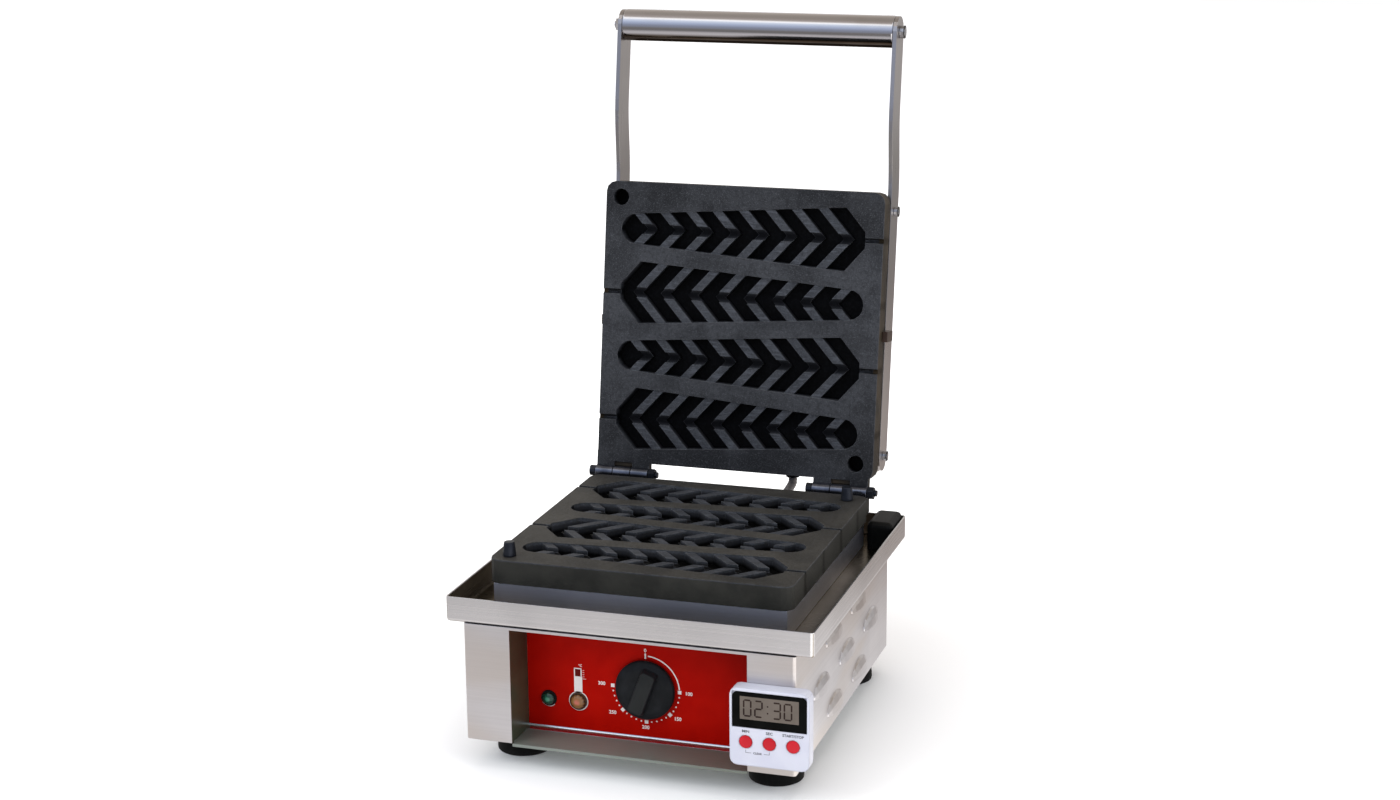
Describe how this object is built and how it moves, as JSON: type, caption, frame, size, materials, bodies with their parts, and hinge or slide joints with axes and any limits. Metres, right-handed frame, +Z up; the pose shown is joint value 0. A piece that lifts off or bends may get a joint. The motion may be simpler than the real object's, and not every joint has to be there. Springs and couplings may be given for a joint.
{
  "type": "waffle iron",
  "caption": "Open countertop waffle iron: louvred steel body on feet, drip tray, hinged cast plates with long stick-waffle moulds, tube handle, dial and clip-on timer.",
  "frame": {"origin": "on the table, under the middle of the space that the object fills with its lid open", "axes": "+X to the right as seen from the front, +Y from the front to the back, +Z up"},
  "size_m": [0.305, 0.4037, 0.5727],
  "materials": {
    "black_rubber": "matt",
    "brushed_steel": "brushed stainless sheet",
    "red_fascia": "deep red, satin",
    "black_plastic": "moulded, matt",
    "copper": "drawn copper tube",
    "green_lens": "gloss",
    "orange_lens": "gloss",
    "white_plastic": "gloss",
    "dark_window": "gloss",
    "display": "satin",
    "black_hinge_steel": "satin black oxide",
    "red_button": "satin",
    "cast_iron": "fine sandy casting, faces machined and seasoned",
    "brown_clip_steel": "heat-tinted brown",
    "polished_steel": "polished stainless",
    "element_sheath": "dull, heat darkened",
    "insulation_wool": "fibrous",
    "grey_conduit": "matt silicone sheath"
  },
  "bodies": {
    "root": {"base_plate": "brushed_steel", "body_shell": "brushed_steel", "conduit": "grey_conduit", "conduit_gland_base": "black_plastic", "control_fascia": "red_fascia", "control_panel": "brushed_steel", "foot_front_left": "black_rubber", "foot_front_right": "black_rubber", "foot_rear_left": "black_rubber", "foot_rear_right": "black_rubber", "foot_screw_front_left": "brushed_steel", "foot_screw_front_right": "brushed_steel", "foot_screw_rear_left": "brushed_steel", "foot_screw_rear_right": "brushed_steel", "heating_lamp_body": "black_plastic", "heating_lamp_lens": "orange_lens", "hinge_bolt_left": "black_hinge_steel", "hinge_bolt_right": "black_hinge_steel", "hinge_nut_left": "black_hinge_steel", "hinge_nut_right": "black_hinge_steel", "locating_pin_front": "black_hinge_steel", "locating_pin_rear": "black_hinge_steel", "lower_element": "element_sheath", "lower_insulation": "insulation_wool", "lower_plate": "cast_iron", "plate_support_box": "brushed_steel", "power_lamp_body": "black_plastic", "power_lamp_lens": "green_lens", "rear_corner_cover": "black_plastic", "supply_gland": "black_plastic", "terminal_block": "white_plastic", "thermostat_body": "black_plastic", "thermostat_probe": "copper", "tray_pan": "brushed_steel"},
    "lid": {"upper_plate": "cast_iron", "upper_housing": "brushed_steel", "upper_element": "element_sheath", "upper_insulation": "insulation_wool", "arm_left": "brushed_steel", "arm_right": "brushed_steel", "handle_tube": "polished_steel", "handle_bolt": "brushed_steel", "handle_nut": "brushed_steel", "arm_bolt_front_left": "brushed_steel", "arm_bolt_front_right": "brushed_steel", "arm_bolt_rear_left": "brushed_steel", "arm_bolt_rear_right": "brushed_steel", "plate_clip_left": "brown_clip_steel", "plate_clip_right": "brown_clip_steel", "conduit_gland_lid": "black_plastic"},
    "knob": {"thermostat_knob": "black_plastic", "thermostat_shaft": "brushed_steel"},
    "timer": {"timer_case": "white_plastic", "timer_window": "dark_window", "timer_display": "display", "timer_magnet": "black_hinge_steel"},
    "minutes_button": {"timer_button_minutes": "red_button"},
    "seconds_button": {"timer_button_seconds": "red_button"},
    "start_button": {"timer_button_start": "red_button"}
  },
  "joints": [
    {"name": "lid_hinge", "type": "hinge", "parent": "root", "child": "lid", "pos_m": [0, 0.09908, 0.1691], "axis": [1, 0, 0], "range_deg": [0, 98.8], "deforming": ["conduit"]},
    {"name": "knob_turn", "type": "hinge", "parent": "root", "child": "knob", "pos_m": [0.0031, -0.15202, 0.068], "axis": [0, 1, 0], "range_deg": [-20.5, 249.5]},
    {"name": "timer_pull", "type": "slide", "parent": "root", "child": "timer", "axis": [0, -1, 0], "range_m": [0, 0.04]},
    {"name": "minutes_press", "type": "slide", "parent": "timer", "child": "minutes_button", "axis": [0, 1, 0], "range_m": [0, 0.001], "stiffness_N_per_m": 400},
    {"name": "seconds_press", "type": "slide", "parent": "timer", "child": "seconds_button", "axis": [0, 1, 0], "range_m": [0, 0.001], "stiffness_N_per_m": 400},
    {"name": "start_press", "type": "slide", "parent": "timer", "child": "start_button", "axis": [0, 1, 0], "range_m": [0, 0.001], "stiffness_N_per_m": 400}
  ]
}
